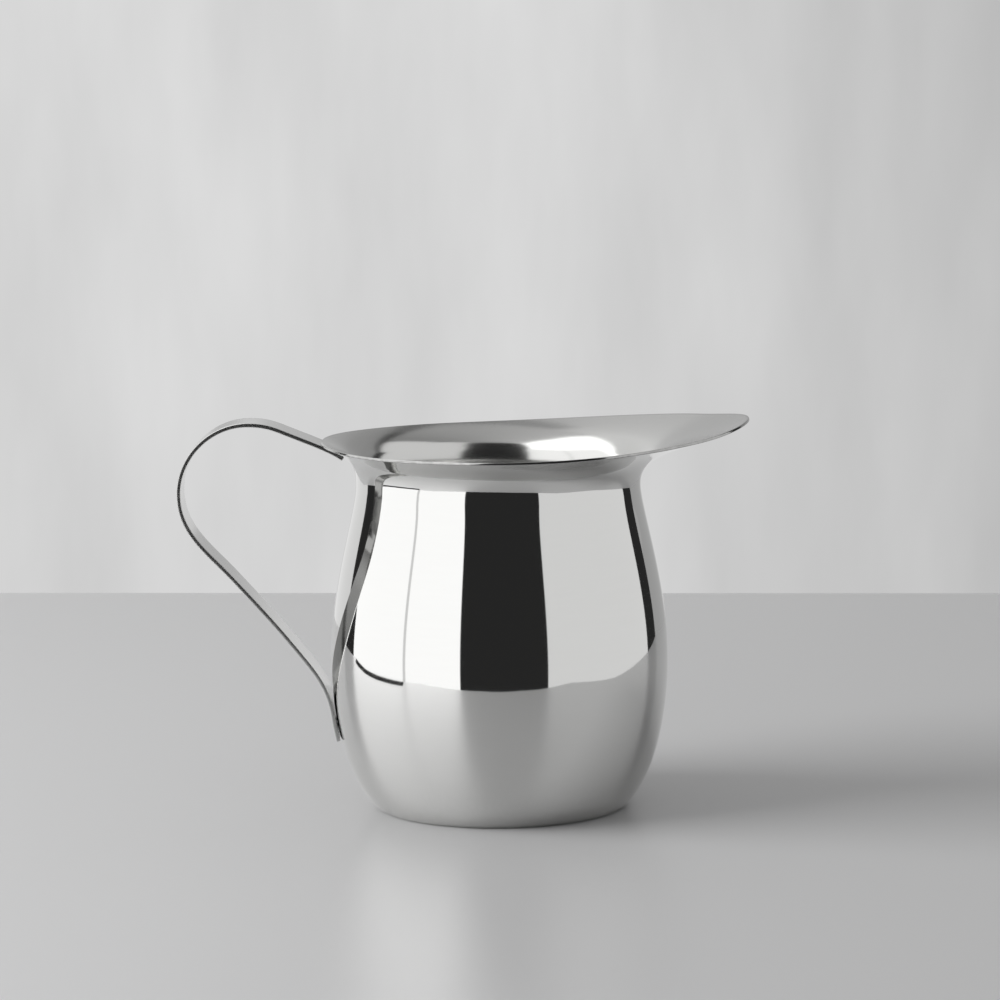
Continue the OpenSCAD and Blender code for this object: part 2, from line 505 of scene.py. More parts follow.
def wear_and_shade_group() -> Group:
    """Makes the scuffed line along an edge of the sheet: painted shade on the cup's lip, the
    ground edge on the strap.

    Returns:
        The group, which puts out a mask from 0 to 1.
    """
    inputs = {"Vector": Kind.VECTOR, **numbers("Edge", "Scuffing")}
    group = Group("Edge Wear and Shade", inputs, numbers("Mask"))
    place = tuple(part * SCUFFS_PER_M for part in group.split(group.entry.outputs["Vector"]))
    scuffs = group.noise(place, detail=2.0, roughness=0.6) * SCUFF_GAIN - SCUFF_FROM
    whole = 1.0 - group.given("Scuffing") * scuffs.node("MINIMUM", 1.0)
    group.put(Mask=group.given("Edge") * whole.node("MAXIMUM", 0.0))
    return group


def weld_group() -> Group:
    """Makes the pair of shallow dents that a spot welder leaves, one each side of the middle.

    Returns:
        The group, which puts out a height and a mask of the heat tint round the dents.
    """
    inputs = {"Vector": Kind.VECTOR, "Centre": Kind.VECTOR, **numbers("Radius")}
    group = Group("Spot Weld Marks", inputs, numbers("Height", "Tint"))
    x, y, z = group.split(group.entry.outputs["Vector"])
    cx, cy, cz = group.split(group.entry.outputs["Centre"])
    side = y.node("ABSOLUTE") - cy
    square = (x - cx) * (x - cx) + side * side + (z - cz) * (z - cz)
    reach = square.node("SQRT") / group.given("Radius")
    group.put(Height=1.0 - reach.bell(1.0), Tint=reach.bell(HEAT_REACH))
    return group


@dataclass
class Effects:
    """The shader groups that the finishes share."""

    buffing: Group = field(default_factory=buffing_group)
    handling: Group = field(default_factory=handling_group)
    wear_and_shade: Group = field(default_factory=wear_and_shade_group)
    welds: Group = field(default_factory=weld_group)


# Finishes


class Shader(Nodes):
    """A material with one Principled surface."""

    def __init__(self, name: str, **values: object) -> None:
        """Makes the material.

        Args:
            name: Its name.
            values: The surface's own sockets, with _ for a space in their names.
        """
        self.material = bpy.data.materials.new(name)
        self.material.use_nodes = True
        super().__init__(self.material.node_tree)
        self.surface = next(n for n in self.tree.nodes if n.type == "BSDF_PRINCIPLED")
        for socket, value in values.items():
            self.surface.inputs[socket.replace("_", " ")].default_value = value
        self.vector = self.add("ShaderNodeTexCoord", {}).outputs["Object"]

    def attribute(self, name: str) -> Sum:
        """Gives a number that the mesh carries."""
        return self.results(self.add("ShaderNodeAttribute", {}, attribute_name=name))["Fac"]

    def group(self, group: Group, **values: object) -> dict[str, Sum]:
        """Places a shared group.

        Args:
            group: The group.
            values: Its inputs, with _ for a space in their names.

        Returns:
            Its results, by name.
        """
        links = {name.replace("_", " "): value for name, value in values.items()}
        links["Vector"] = self.vector
        return self.results(self.add("ShaderNodeGroup", links, node_tree=group.tree))

    def link(self, value: Sum, name: str) -> None:
        """Sends a value to one of the surface's sockets."""
        self.tree.links.new(value.socket, self.surface.inputs[name])

    def mixed(self, low: "Tint | Sum", high: Tint, share: Sum) -> Sum:
        """Mixes two colours.

        Args:
            low: The colour at share 0.
            high: The colour at share 1.
            share: The share.

        Returns:
            The colour.
        """
        low = low if isinstance(low, Sum) else (*low, 1.0)
        links = {"A": low, "B": (*high, 1.0), "Factor": share}
        return self.results(self.add("ShaderNodeMix", links, data_type="RGBA"))["Result"]

    def bump(self, height: Sum, distance: float, strength: float = 1.0) -> None:
        """Gives the surface a relief.

        Args:
            height: The relief, from 0 to 1.
            distance: The depth that 1 stands for.
            strength: How much of it is used.
        """
        links = {"Height": height, "Distance": distance, "Strength": strength}
        self.link(self.results(self.add("ShaderNodeBump", links))["Normal"], "Normal")


@dataclass(frozen=True)
class CupSteel:
    """Steel sheet, mirror-polished outside and satin inside."""

    name: str = "polished_steel"
    tint: Tint = (0.605, 0.605, 0.597)
    satin_tint: Tint = (0.53, 0.53, 0.52)
    rim_shade_tint: Tint = (0.3, 0.3, 0.296)
    mirror: float = 0.035
    satin: float = 0.14
    edge: float = 0.09
    foot: float = 0.11
    foot_top: float = 13 * MM
    foot_fade: float = 10 * MM
    lines_per_m: float = 7000.0
    line_length: float = 0.02
    line_depth: float = 0.004 * MM
    line_haze: float = 0.03
    line_tone: float = 0.15
    line_floor: float = 0.04
    satin_tone: float = 0.85
    streaks_per_m: float = 90.0
    streak_length: float = 12.0
    streak_tone: float = 0.5
    marks_per_m: float = 60.0
    mark_haze: float = 0.015
    foot_relief: float = 0.6
    scuffing: float = 0.4

    def material(self, effects: Effects) -> bpy.types.Material:
        """Builds the material.

        Args:
            effects: The shared shader groups.

        Returns:
            The material.
        """
        shader = Shader(self.name, Metallic=1.0)
        lines = shader.group(
            effects.buffing, Lines_per_Metre=self.lines_per_m, Length_Share=self.line_length
        )
        streaks = shader.group(
            effects.buffing, Lines_per_Metre=self.streaks_per_m, Length_Share=self.streak_length
        )
        marks = shader.group(effects.handling, Marks_per_Metre=self.marks_per_m)
        inside, rim = shader.attribute("inside"), shader.attribute("rim")
        rim = shader.group(effects.wear_and_shade, Edge=rim, Scuffing=self.scuffing)["Mask"]
        height = shader.split(shader.vector)[2]
        low = ((self.foot_top - height) / self.foot_fade).within() * (1.0 - inside)
        rough = (low * (self.foot - self.mirror) + self.mirror).to(self.satin, inside)
        rough = rough.to(self.edge, rim) + marks["Mask"] * self.mark_haze
        shader.link(rough + lines["Tone"] * self.line_haze * (inside + low), "Roughness")
        tone = inside * (1.0 - rim) * self.satin_tone + lines["Tone"] * self.line_tone
        tone = tone + streaks["Tone"] * low * self.streak_tone
        base = shader.mixed(self.tint, self.satin_tint, tone)
        # The lip's edge is darker in colour: painted shade. Its higher roughness and its scuffs
        # stand for the cut edge's wear.
        shader.link(shader.mixed(base, self.rim_shade_tint, rim), "Base Color")
        relief = lines["Height"] * (inside + low * self.foot_relief + self.line_floor)
        shader.bump(relief, self.line_depth)
        return shader.material


@dataclass(frozen=True)
class StrapSteel:
    """The strap's steel: polished faces and a ground, darker edge."""

    name: str = "strap_steel"
    tint: Tint = (0.605, 0.605, 0.597)
    edge: Tint = (0.5, 0.5, 0.495)
    face_roughness: float = 0.1
    edge_roughness: float = 0.24
    lines_per_m: float = 5000.0
    line_length: float = 0.05
    line_haze: float = 0.05
    line_share: float = 0.012
    scuffing: float = 0.12
    dent_r: float = 1.4 * MM
    dent_depth: float = 0.12 * MM
    dent_tone: float = 0.35

    def material(self, effects: Effects, weld: Vector) -> bpy.types.Material:
        """Builds the material.

        Args:
            effects: The shared shader groups.
            weld: The place of one lower spot weld.

        Returns:
            The material.
        """
        shader = Shader(self.name, Metallic=1.0)
        lines = shader.group(
            effects.buffing, Lines_per_Metre=self.lines_per_m, Length_Share=self.line_length
        )
        dents = shader.group(effects.welds, Centre=weld, Radius=self.dent_r)
        edge = shader.attribute("edge")
        edge = shader.group(effects.wear_and_shade, Edge=edge, Scuffing=self.scuffing)["Mask"]
        rough = lines["Tone"] * self.line_haze + self.face_roughness
        shader.link(rough.to(self.edge_roughness, edge), "Roughness")
        shade = (edge + dents["Tint"] * self.dent_tone).node("MINIMUM", 1.0)
        shader.link(shader.mixed(self.tint, self.edge, shade), "Base Color")
        shader.bump(lines["Height"] * self.line_share + dents["Height"], self.dent_depth)
        return shader.material


@dataclass(frozen=True)
class WeldSteel:
    """The fused metal of a spot weld: grey, grainy and a little tinted."""

    name: str = "weld_steel"
    tint: Tint = (0.5, 0.5, 0.5)
    dark: Tint = (0.36, 0.35, 0.34)
    roughness: float = 0.42
    grain_haze: float = 0.15
    grains_per_m: float = 1800.0
    grain_depth: float = 0.02 * MM
    grain_strength: float = 0.6

    def material(self, effects: Effects) -> bpy.types.Material:
        """Builds the material.

        Args:
            effects: The shared shader groups.

        Returns:
            The material.
        """
        shader = Shader(self.name, Metallic=1.0)
        mask = shader.group(effects.handling, Marks_per_Metre=self.grains_per_m)["Mask"]
        shader.link(mask * self.grain_haze + self.roughness, "Roughness")
        shader.link(shader.mixed(self.tint, self.dark, mask), "Base Color")
        shader.bump(mask, self.grain_depth, self.grain_strength)
        return shader.material


@dataclass(frozen=True)
class Laminate:
    """The table's satin laminate, which reflections show in a painted tone of its own."""

    name: str = "table_laminate"
    tint: Tint = (0.66, 0.66, 0.663)
    ior: float = 1.5
    # Reflections see the table brighter than the camera does: painted light.
    painted_reflection_tint: Tint = (0.76, 0.76, 0.763)
    reflected_ior: float = 2.1
    roughness: float = 0.36

    def material(self) -> bpy.types.Material:
        """Builds the material.

        Returns:
            The material.
        """
        shader = Shader(
            self.name, Base_Color=(*self.tint, 1.0), Roughness=self.roughness, IOR=self.ior
        )
        links = {"Base Color": (*self.painted_reflection_tint, 1.0), "Roughness": self.roughness}
        links["IOR"] = self.reflected_ior
        reflected = shader.add("ShaderNodeBsdfPrincipled", links)
        rays = shader.add("ShaderNodeLightPath", {}).outputs
        blend = shader.add("ShaderNodeMixShader", {"Fac": rays["Is Glossy Ray"]})
        for entry, surface in ((1, shader.surface), (2, reflected)):
            shader.tree.links.new(surface.outputs[0], blend.inputs[entry])
        end = next(n for n in shader.tree.nodes if n.type == "OUTPUT_MATERIAL")
        shader.tree.links.new(blend.outputs[0], end.inputs["Surface"])
        return shader.material


class Glow(Nodes):
    """A material that shines, which isn't sampled as a lamp."""

    def __init__(self, name: str) -> None:
        """Makes the material.

        Args:
            name: Its name.
        """
        self.material = bpy.data.materials.new(name)
        self.material.use_nodes = True
        self.material.cycles.emission_sampling = "NONE"
        super().__init__(self.material.node_tree)
        self.tree.nodes.clear()
        self.light = self.add("ShaderNodeEmission", {})
        self.add("ShaderNodeOutputMaterial", {"Surface": self.light.outputs[0]})
        self.parts = self.split(self.add("ShaderNodeTexCoord", {}).outputs["Object"])

    def rays(self) -> dict[str, Sum]:
        """Gives what is known of the ray that sees the material, by name."""
        return self.results(self.add("ShaderNodeLightPath", {}))

    def ramp(self, shades: Point, sweep: Point) -> Sum:
        """Gives a shade that changes from left to right.

        Args:
            shades: The shade at the left and at the right.
            sweep: The places along X where the change starts and ends.

        Returns:
            The shade.
        """
        share = ((self.parts[0] - sweep[0]) / (sweep[1] - sweep[0])).within()
        return share * (shades[1] - shades[0]) + shades[0]

    def shine(self, strength: Sum) -> bpy.types.Material:
        """Sets how brightly the material shines and gives it."""
        self.tree.links.new(strength.socket, self.light.inputs["Strength"])
        return self.material


# The creamer's pieces


@dataclass
class DrawnCup:
    """The cup: one sheet from the foot to the lip, pulled out into a spout at the front."""

    belly_r: float = 35.0 * MM
    belly_z: float = 30.5 * MM
    foot_r: float = 25.9 * MM
    foot_round: float = 0.8 * MM
    foot_w: float = 2.6 * MM
    foot_fillet: float = 0.6 * MM
    push_up: float = 0.8 * MM
    push_slope: float = 1.4 * MM
    neck_r: float = 29.5 * MM
    neck_z: float = 67.0 * MM
    wall: float = 0.55 * MM
    lip_r: float = 37.2 * MM
    lip_rise: float = 8.5 * MM
    spout_reach: float = 14.8 * MM
    spout_lift: float = 4.6 * MM
    spout_angle: float = 110.0
    tip_angle: float = 28.0
    press_rise: float = 0.5 * MM
    press_depth: float = 0.7 * MM
    press_angle: float = 55.0
    edge_round: float = 0.16 * MM
    closing_share: float = 1.062
    belly_pull_share: float = 0.44
    neck_pull_share: float = 0.137
    waist_share: float = 0.5
    lip_out_share: float = 0.92
    spout_out_share: float = 0.62
    lip_up_share: float = 0.32
    spout_up_share: float = 0.38
    tip_reach_share: float = 0.1
    tip_lift_share: float = 0.19
    lift_shape_share: float = 1.64
    turns: int = 288
    bottom_steps: int = 6
    fillet_steps: int = 5
    foot_steps: int = 8
    belly_steps: int = 40
    neck_steps: int = 44
    lip_steps: int = 34
    lip_crowding: float = 1.15
    edge_steps: int = 5
    slope_step: float = 0.01
    name: str = "creamer_cup"

    @property
    def lip_z(self) -> float:
        """Height of the lip's lower edge at the sides."""
        return self.neck_z + self.lip_rise

    @property
    def closing_h(self) -> float:
        """Half height of the ellipse that closes the belly."""
        return self.belly_z * self.closing_share

    @property
    def closing_w(self) -> float:
        """Half width of that ellipse."""
        sink = math.sqrt(1 - (self.belly_z / self.closing_h) ** 2)
        return (self.belly_r - self.foot_r) / (1 - sink)

    def belly_at(self, z: float) -> float:
        """Gives the outside radius of the lower belly at a height."""
        sink = math.sqrt(1 - ((self.belly_z - z) / self.closing_h) ** 2)
        return self.belly_r - self.closing_w * (1 - sink)

    def belly_lean(self, z: float) -> float:
        """Finds how far the lower belly leans from straight up.

        Args:
            z: The height.

        Returns:
            The angle, in degrees.
        """
        down = self.belly_z - z
        sink = math.sqrt(1 - (down / self.closing_h) ** 2)
        return math.degrees(math.atan(self.closing_w * down / (self.closing_h**2 * sink)))

    def outer_path(self) -> list[Point]:
        """Draws the outer skin's section, from the middle of the bottom up to the waist.

        Returns:
            Its points, as radius and height.
        """
        ring_out = self.foot_r - self.foot_round
        ring_in = ring_out - self.foot_w
        slope = (ring_in - self.push_slope, self.push_up)
        corners = [(0.0, self.push_up), slope, (ring_in, 0.0), (ring_out, 0.0)]
        path = filleted(corners, self.foot_fillet, self.fillet_steps)
        n = self.bottom_steps
        path[1:1] = [(slope[0] * i / n, self.push_up) for i in range(1, n)]
        foot, top = (self.foot_r, 0.0), (self.belly_at(self.foot_round), self.foot_round)
        path += follow((corners[-1], foot, foot, top), self.foot_steps)
        sweep = math.asin((self.belly_z - self.foot_round) / self.closing_h)
        for i in range(1, self.belly_steps + 1):
            a = sweep * (1 - i / self.belly_steps)
            r = self.belly_r - self.closing_w * (1 - math.cos(a))
            path.append((r, self.belly_z - self.closing_h * math.sin(a)))
        rise = self.neck_z - self.belly_z
        curve = (
            (self.belly_r, self.belly_z),
            (self.belly_r, self.belly_z + rise * self.belly_pull_share),
            (self.neck_r, self.neck_z - rise * self.neck_pull_share),
            (self.neck_r, self.neck_z),
        )
        return path + follow(curve, self.neck_steps)

    def section(self) -> list[dict[str, float]]:
        """Draws the whole section: up the outer skin, over the lip's edge and down the inner skin.

        Returns:
            The points. Where t is 0 or more the point lies on the flared lip, at that share of
            its section, moved across and along the sheet.
        """
        outer, n = self.outer_path(), self.lip_steps
        normals = left_normals(outer)
        normals[0], normals[-1] = (0.0, 1.0), (-1.0, 0.0)
        inner = [
            (max(p[0] + n[0] * self.wall, 0.0), p[1] + n[1] * self.wall)
            for p, n in zip(outer, normals)
        ]
        shares = [1 - (1 - i / n) ** self.lip_crowding for i in range(n)]
        points = [{"r": r, "z": z, "t": -1.0} for r, z in outer[:-1]]
        points += [{"t": t} for t in shares]
        for across, along in self.edge_path():
            place = {"across": across, "along": along, "inside": across / self.wall}
            points.append({"t": 1.0, "rim": 1.0, **place})
        points += [{"t": t, "across": self.wall, "inside": 1.0} for t in reversed(shares)]
        points += [{"r": r, "z": z, "t": -1.0, "inside": 1.0} for r, z in reversed(inner[:-1])]
        return points

    def edge_path(self) -> list[Point]:
        """Draws the rounded edge of the sheet.

        Returns:
            Its points, as distances across and along the sheet.
        """
        r, path = self.edge_round, []
        for centre, start in ((r, 180.0), (self.wall - r, 90.0)):
            for i in range(self.edge_steps + 1):
                x, y = heading(start - 90.0 * i / self.edge_steps)
                path.append((centre + r * x, r * y - r))
        return path

    def sizes(self) -> dict[str, float]:
        """Names the sizes that the tree works with.

        Returns:
            The sizes, by the names of the tree's inputs.
        """
        return {
            "Neck Radius": self.neck_r,
            "Neck Height": self.neck_z,
            "Lip Radius": self.lip_r,
            "Lip Height": self.lip_z,
            "Spout Reach": self.spout_reach,
            "Spout Lift": self.spout_lift,
            "Spout Angle": self.spout_angle,
            "Tip Angle": self.tip_angle,
            "Press Rise": self.press_rise,
            "Press Depth": self.press_depth,
            "Press Angle": self.press_angle,
        }

    def tree(self) -> Tree:
        """Builds the tree that turns the section round the axis and pulls out the spout.

        Returns:
            The tree.
        """
        tree = Tree("Drawn Cup", {"Turns": Kind.COUNT, **numbers(*self.sizes())})
        turns = tree.given("Turns")
        grid, column, row = tree.grid(turns + 1.0, tree.count())
        names = ("r", "z", "t", "across", "along", "inside", "rim")
        given = {name: tree.sampled(row, name) for name in names}
        angle = column / turns * 360.0 - 180.0
        spout, tip = angle.bell(tree.given("Spout Angle")), angle.bell(tree.given("Tip Angle"))
        reach = tree.given("Spout Reach") * spout.to(tip, self.tip_reach_share)
        raised = spout.node("POWER", self.lift_shape_share).to(tip, self.tip_lift_share)
        press = (180.0 - angle.node("ABSOLUTE")).bell(tree.given("Press Angle"))
        edge_r = tree.given("Lip Radius") + reach - tree.given("Press Depth") * press
        edge_z = tree.given("Lip Height") + tree.given("Spout Lift") * raised
        edge_z = edge_z + tree.given("Press Rise") * press
        up = raised * (self.spout_up_share - self.lip_up_share) + self.lip_up_share
        out = raised * (self.spout_out_share - self.lip_out_share) + self.lip_out_share
        neck_r, neck_z = tree.given("Neck Radius"), tree.given("Neck Height")
        share = given["t"].node("MAXIMUM", 0.0)
        radii = (neck_r, neck_r, edge_r.to(neck_r, out), edge_r)
        heights = (neck_z, neck_z.to(edge_z, self.waist_share), edge_z.to(neck_z, up), edge_z)
        r, r_slope = self.curve(radii, share)
        z, z_slope = self.curve(heights, share)
        length = (r_slope * r_slope + z_slope * z_slope).node("SQRT")
        east, north = r_slope / length, z_slope / length
        r = r - given["across"] * north + given["along"] * east
        z = z + given["across"] * east + given["along"] * north
        on_lip = (given["t"] + 0.5).node("GREATER_THAN", 0.0)
        r, z = given["r"].to(r, on_lip), given["z"].to(z, on_lip)
        turn = angle.node("RADIANS")
        place = (r * turn.node("COSINE"), r * turn.node("SINE"), z)
        tree.close(grid, place, {name: given[name] for name in ("inside", "rim")})
        return tree

    @staticmethod
    def curve(points: tuple[Sum, Sum, Sum, Sum], t: Sum) -> tuple[Sum, Sum]:
        """Works out one part of a cubic curve and its slope.

        Args:
            points: That part of its four control points.
            t: The share of the way along it.

        Returns:
            The value and the slope.
        """
        p, q, r, s = points
        rest = 1.0 - t
        value = rest * rest * rest * p + rest * rest * t * 3.0 * q
        value = value + rest * t * t * 3.0 * r + t * t * t * s
        slope = rest * rest * (q - p) + rest * t * 2.0 * (r - q) + t * t * (s - r)
        return value, slope

    def build(self, material: bpy.types.Material) -> bpy.types.Object:
        """Builds the cup and puts it in the place of its solid.

        Args:
            material: The cup's material.

        Returns:
            The piece.
        """
        values = {"Turns": self.turns, **self.sizes(), "Material": material}
        piece = self.tree().grown(self.name, self.section(), values)
        seat(piece, Node.SHELL)
        return piece

    def lip_point(self, t: float) -> tuple[Point, Point]:
        """Finds a point under the lip on the strap's side.

        Args:
            t: The share of the way up the lip's section.

        Returns:
            The point, as radius and height, and the section's direction there.
        """
        r, z = self.lip_r - self.press_depth, self.lip_z + self.press_rise
        curve = (
            (self.neck_r, self.neck_z),
            (self.neck_r, mix(self.neck_z, z, self.waist_share)),
            (mix(r, self.neck_r, self.lip_out_share), mix(z, self.neck_z, self.lip_up_share)),
            (r, z),
        )
        a, b = (bezier(curve, t + step) for step in (-self.slope_step, self.slope_step))
        return bezier(curve, t), unit(b[0] - a[0], b[1] - a[1])


@dataclass
class HandleStrap:
    """The handle: one flat strap, bent into a loop and welded to the cup at both ends."""

    cup: DrawnCup
    width: float = 10.8 * MM
    thickness: float = 0.8 * MM
    edge_round: float = 0.14 * MM
    back_out: float = 30.7 * MM
    back_rise: float = 35.5 * MM
    crest_out: float = 14.3 * MM
    crest_rise: float = 4.8 * MM
    land_drop: float = 10.6 * MM
    end_drop: float = 16.1 * MM
    rise_out: float = 6.8 * MM
    rise_up: float = 3.2 * MM
    rise_angle: float = 157.0
    bend_out: float = 19.5 * MM
    bend_up: float = 17.6 * MM
    bend_angle: float = 312.0
    fall_out: float = 6.4 * MM
    fall_up: float = 2.4 * MM
    fall_angle: float = 308.5
    seam_gap: float = 0.08 * MM
    weld_pitch: float = 4.4 * MM
    pull_share: float = 0.38
    pad_from_share: float = 0.65
    lower_cup_share: float = 0.35
    edge_fade: float = 1.6
    pad_steps: int = 16
    span_steps: int = 32
    width_steps: int = 30
    corner_steps: int = 5
    end_steps: int = 4
    name: str = "creamer_strap"

    @property
    def offset(self) -> float:
        """How far the middle of the strap's thickness lies off the cup on its pads."""
        return self.seam_gap + self.thickness / 2

    def under_lip(self, t: float) -> Point:
        """Gives a point of the route under the lip."""
        (r, z), (east, north) = self.cup.lip_point(t)
        return (-(r + self.offset * north), z - self.offset * east)

    def on_belly(self, z: float, offset: float) -> Point:
        """Gives a point that lies so far off the belly, on the strap's side."""
        x, y = heading(self.cup.belly_lean(z))
        return (-(self.cup.belly_at(z) + offset * x), z - offset * y)

    def route(self) -> list[Point]:
        """Draws the middle of the strap's thickness, from under the lip to the belly.

        Returns:
            Its points, as place along X and height.
        """
        cup, n = self.cup, self.pad_steps
        land, end = cup.belly_z - self.land_drop, cup.belly_z - self.end_drop
        path = [self.under_lip(mix(self.pad_from_share, 1.0, i / n)) for i in range(n + 1)]
        lower = [self.on_belly(mix(land, end, i / n), self.offset) for i in range(n + 1)]
        east, north = cup.lip_point(1.0)[1]
        knots = [
            (path[-1], 180.0 - math.degrees(math.atan2(north, east))),
            ((-cup.lip_r - self.rise_out, cup.lip_z + self.rise_up), self.rise_angle),
            ((-cup.lip_r - self.crest_out, cup.lip_z + self.crest_rise), 180.0),
            ((-cup.belly_r - self.back_out, cup.belly_z + self.back_rise), 270.0),
            ((-cup.belly_r - self.bend_out, cup.belly_z + self.bend_up), self.bend_angle),
            ((-cup.belly_r - self.fall_out, cup.belly_z + self.fall_up), self.fall_angle),
            (lower[0], 270.0 + cup.belly_lean(land)),
        ]
        for (a, a_turn), (b, b_turn) in zip(knots, knots[1:]):
            pull = self.pull_share * math.hypot(b[0] - a[0], b[1] - a[1])
            (ax, ay), (bx, by) = heading(a_turn), heading(b_turn)
            q, r = (a[0] + pull * ax, a[1] + pull * ay), (b[0] - pull * bx, b[1] - pull * by)
            path += follow((a, q, r, b), self.span_steps)
        return path + lower[1:]

    def cupping(self, i: int, last: int) -> float:
        """Finds how fully the strap follows the round cup.

        Args:
            i: The point of the route.
            last: The last point's number.

        Returns:
            The share, which is negative where the cup lies on the loop's inner side.
        """
        near = min(i, last - i)
        share = max(0.0, 1 - max(0, near - self.pad_steps) / self.span_steps)
        return share if i == near else -self.lower_cup_share * share

    def rows(self) -> list[dict[str, float]]:
        """Lists the rings of the strap, with its two ends rounded and closed.

        Returns:
            The numbers of each ring.
        """
        route, rows = self.route(), []
        for i, ((x, z), (nx, nz)) in enumerate(zip(route, left_normals(route))):
            bow = self.cupping(i, len(route) - 1) * abs(nx) / (2 * abs(x))
            rows.append({"x": x, "z": z, "nx": -nx, "nz": -nz, "bow": bow, "thin": 1.0})
        first, last = self.closed_end(rows[0], rows[1]), self.closed_end(rows[-1], rows[-2])
        return first[::-1] + rows[1:-1] + last

    def closed_end(self, ring: dict[str, float], near: dict[str, float]) -> list[dict[str, float]]:
        """Draws one end of the strap in, with rounded corners.

        Args:
            ring: The last ring.
            near: The ring before it.

        Returns:
            The rings of that end, the last of them closed.
        """
        dx, dz = unit(ring["x"] - near["x"], ring["z"] - near["z"])
        edge, made = self.edge_round, []
        for i in range(self.end_steps + 1):
            x, y = heading(90.0 * (1 - i / self.end_steps))
            place = {"x": ring["x"] + dx * (x - 1) * edge, "z": ring["z"] + dz * (x - 1) * edge}
            thin = 1 - (1 - y) * edge / (self.thickness / 2)
            made.append({**ring, **place, "thin": thin, "inset": (1 - y) * edge})
        return made + [{**made[-1], "thin": 0.0}]

    def ring(self) -> list[dict[str, float]]:
        """Draws the strap's closed cross-section, as side and depth from its middle line.

        Returns:
            Its points. The last lies on the first.
        """
        w, h, r = self.width / 2, self.thickness / 2, self.edge_round
        points, n, steps = [], self.corner_steps, self.width_steps
        for quarter, (sx, sy) in enumerate(((1, 1), (-1, 1), (-1, -1), (1, -1))):
            for i in range(n + 1):
                x, y = heading(90.0 * (quarter + i / n))
                points.append((sx * (w - r) + r * x, sy * (h - r) + r * y))
            if sx == sy:
                x, y = points[-1]
                points += [(mix(x, -x, i / steps), y) for i in range(1, steps)]
        ring = []
        for x, y in points + points[:1]:
            share = (abs(x) - w + r) / r * self.edge_fade
            ring.append({"side": x, "depth": y, "edge": max(0.0, min(1.0, share))})
        return ring

    def tree(self) -> Tree:
        """Builds the tree that sweeps the cross-section along the route.

        Returns:
            The tree.
        """
        tree = Tree("Bent Strap", {"Rows": Kind.COUNT})
        rows = tree.given("Rows")
        mesh, row, point = tree.grid(rows, tree.count() - rows)
        names = ("x", "z", "nx", "nz", "bow", "thin", "inset")
        given = {name: tree.sampled(row, name) for name in names}
        side, depth, edge = (tree.sampled(point + rows, n) for n in ("side", "depth", "edge"))
        side = side * (1.0 - given["inset"] / (self.width / 2))
        depth = depth * given["thin"] + side * side * given["bow"]
        place = (given["x"] + depth * given["nx"], side, given["z"] + depth * given["nz"])
        tree.close(mesh, place, {"edge": edge})
        return tree

    def build(self, material: bpy.types.Material) -> bpy.types.Object:
        """Builds the strap and puts it in the place of its solid.

        Args:
            material: The strap's material.

        Returns:
            The piece.
        """
        rows = self.rows()
        values = {"Rows": len(rows), "Material": material}
        piece = self.tree().grown(self.name, rows + self.ring(), values)
        seat(piece, Node.STRAP)
        return piece

    def lower_weld(self) -> Vector:
        """Finds a lower spot weld's place on the strap's outer face.

        Returns:
            The place.
        """
        z = self.cup.belly_z - (self.land_drop + self.end_drop) / 2
        x, height = self.on_belly(z, self.seam_gap + self.thickness)
        return Vector((x, self.weld_pitch / 2, height))


@dataclass
class SpotWelds:
    """The weld nuggets, which stay the frame's own solids."""

    nodes: tuple[Node, ...] = (Node.UPPER_WELDS, Node.LOWER_WELDS)

    def dress(
        self, solids: dict[str, bpy.types.Object], material: bpy.types.Material
    ) -> list[bpy.types.Object]:
        """Gives the nuggets their material.

        Args:
            solids: The frame's solids, by name.
            material: The material.

        Returns:
            The nuggets' solids.
        """
        dressed = [solids[node.value] for node in self.nodes]
        for solid in dressed:
            solid.data.materials.clear()
            solid.data.materials.append(material)
        return dressed


# The stage


@dataclass(frozen=True)
class Panel:
    """A flat or folded panel of the light tent, which only reflections show."""

    name: str
    faces: tuple[tuple[Place, ...], ...]
    shade: float
    right: float | None = None
    sweep: Point = (0.0, 1.0)
    again: float | None = None

    @classmethod
    def ribbon(
        cls, name: str, path: list[Point], span: Point, shade: float, **more: object
    ) -> "Panel":
        """Stands a panel on end along a path.

        Args:
            name: Its name.
            path: The points that it stands over.
            span: The heights of its bottom and its top.
            shade: How bright it is.
            more: Its right shade and sweep, or its shade in a second reflection.

        Returns:
            The panel.
        """
        low, top = span
        faces = [((*a, low), (*b, low), (*b, top), (*a, top)) for a, b in zip(path, path[1:])]
        return cls(name, tuple(faces), shade, **more)

    @classmethod
    def upright(
        cls, name: str, turns: Point, distance: float, span: Point, shade: float, **more: object
    ) -> "Panel":
        """Stands a panel on end, facing the object.

        Args:
            name: Its name.
            turns: The compass angles of its two ends. 0 is towards the camera.
            distance: How far its ends stand from the object's axis.
            span: The heights of its bottom and its top.
            shade: How bright it is.
            more: As for a ribbon.

        Returns:
            The panel.
        """
        feet = [(distance * x, distance * y) for x, y in (heading(a - 90.0) for a in turns)]
        return cls.ribbon(name, feet, span, shade, **more)

    @classmethod
    def overhead(
        cls, name: str, points: list[Point], height: float, shade: float, **more: object
    ) -> "Panel":
        """Hangs a panel level over the object, with the outline that the points give."""
        return cls(name, (tuple((x, y, height) for x, y in points),), shade, **more)


